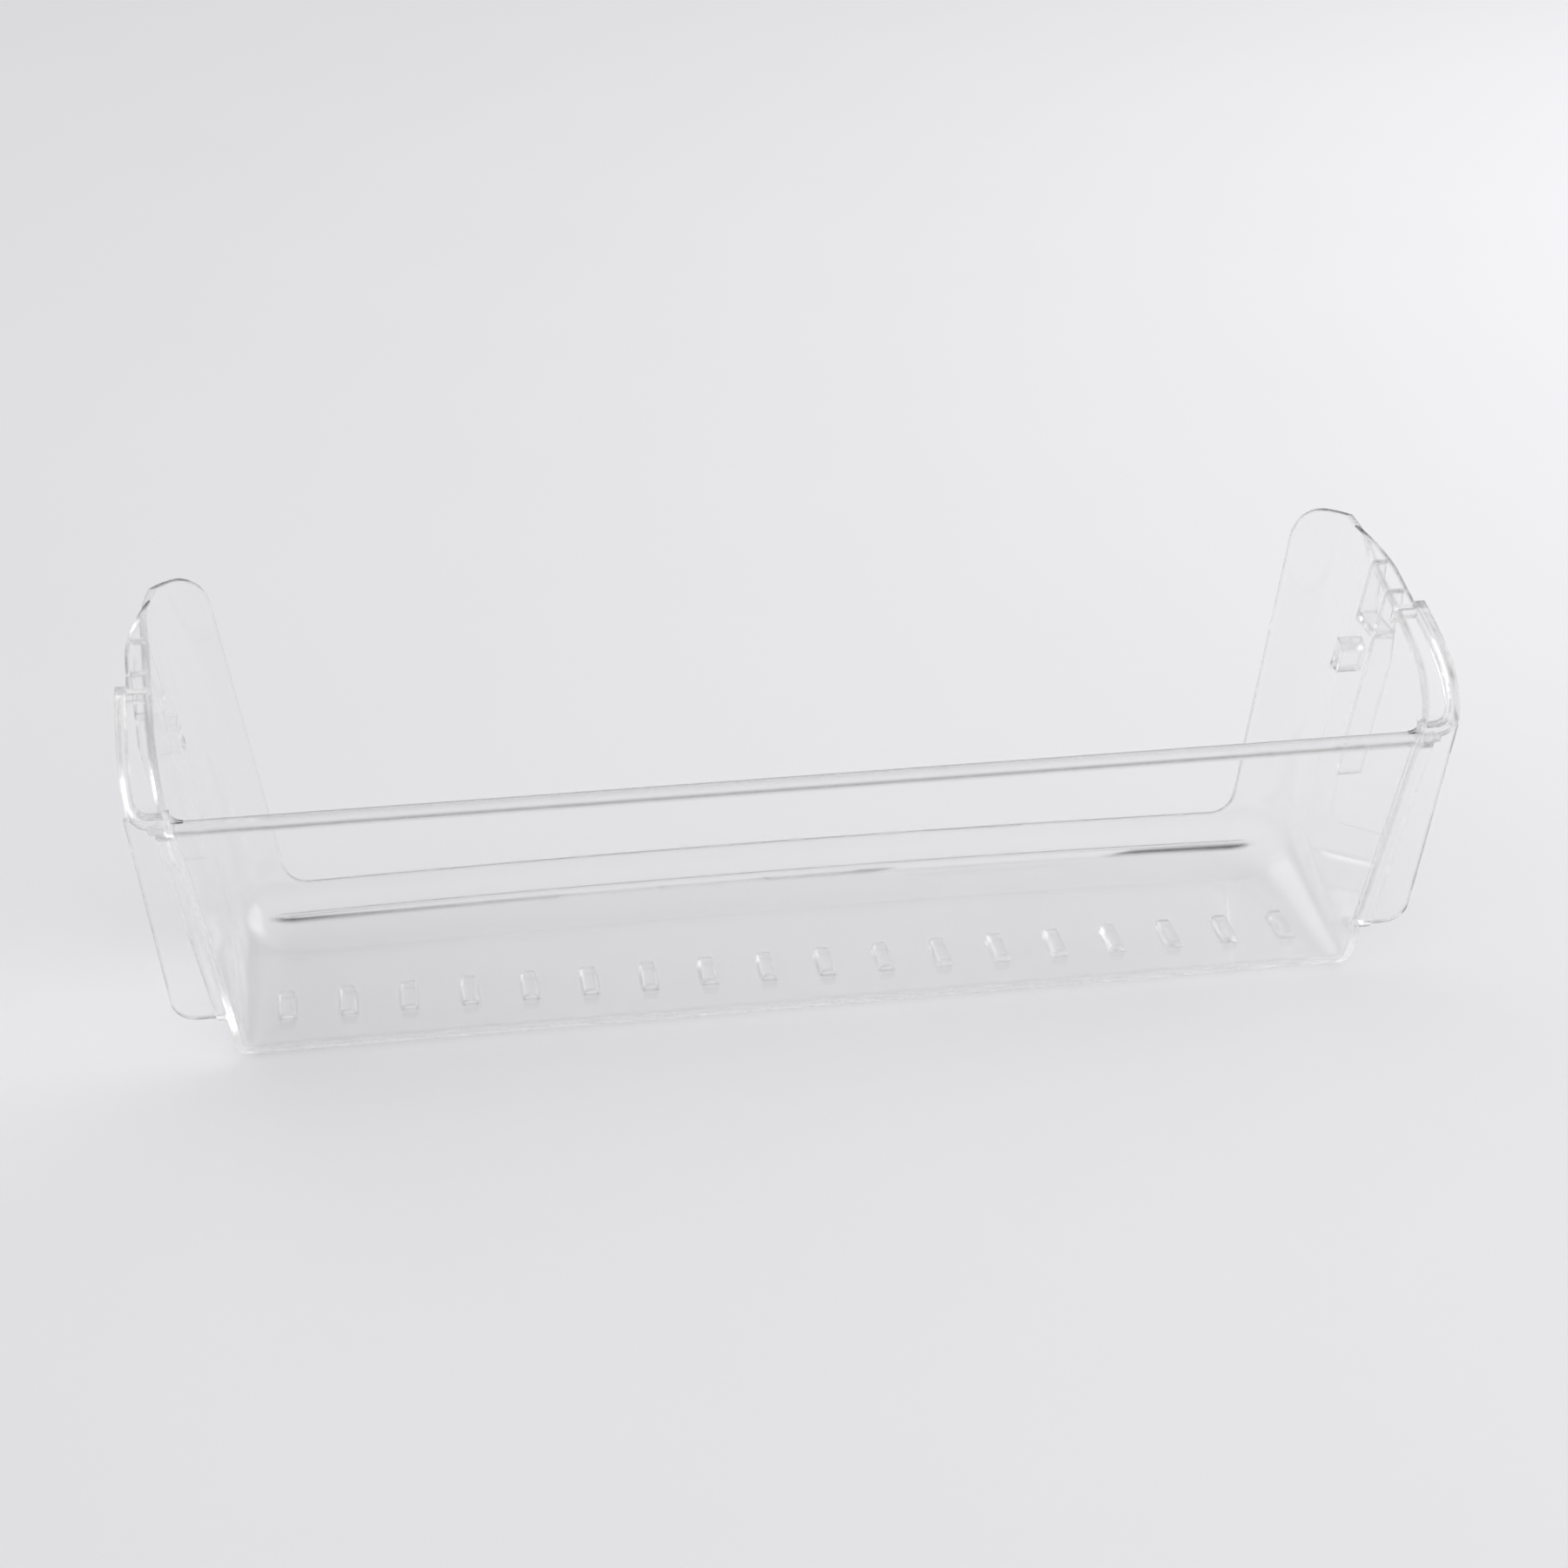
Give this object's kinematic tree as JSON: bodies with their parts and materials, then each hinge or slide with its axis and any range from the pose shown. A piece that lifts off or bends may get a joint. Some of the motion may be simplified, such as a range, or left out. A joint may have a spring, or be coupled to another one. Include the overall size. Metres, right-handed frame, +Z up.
{
  "type": "fridge door shelf",
  "caption": "Clear moulded tray with a thick front rim, an open back and tall flanged end walls, which drops over bosses in a refrigerator door to hold bottles and jars.",
  "frame": {"origin": "centre of the underside, midway between the end walls and between the front rim and the rear edge, on the surface it stands on", "axes": "+X along the length, -Y out of the front that faces the room, +Z up"},
  "size_m": [0.4892, 0.1219, 0.147],
  "materials": {
    "clear_plastic": "clear, polished as moulded"
  },
  "bodies": {
    "root": {"door_shelf": "clear_plastic"}
  },
  "joints": []
}
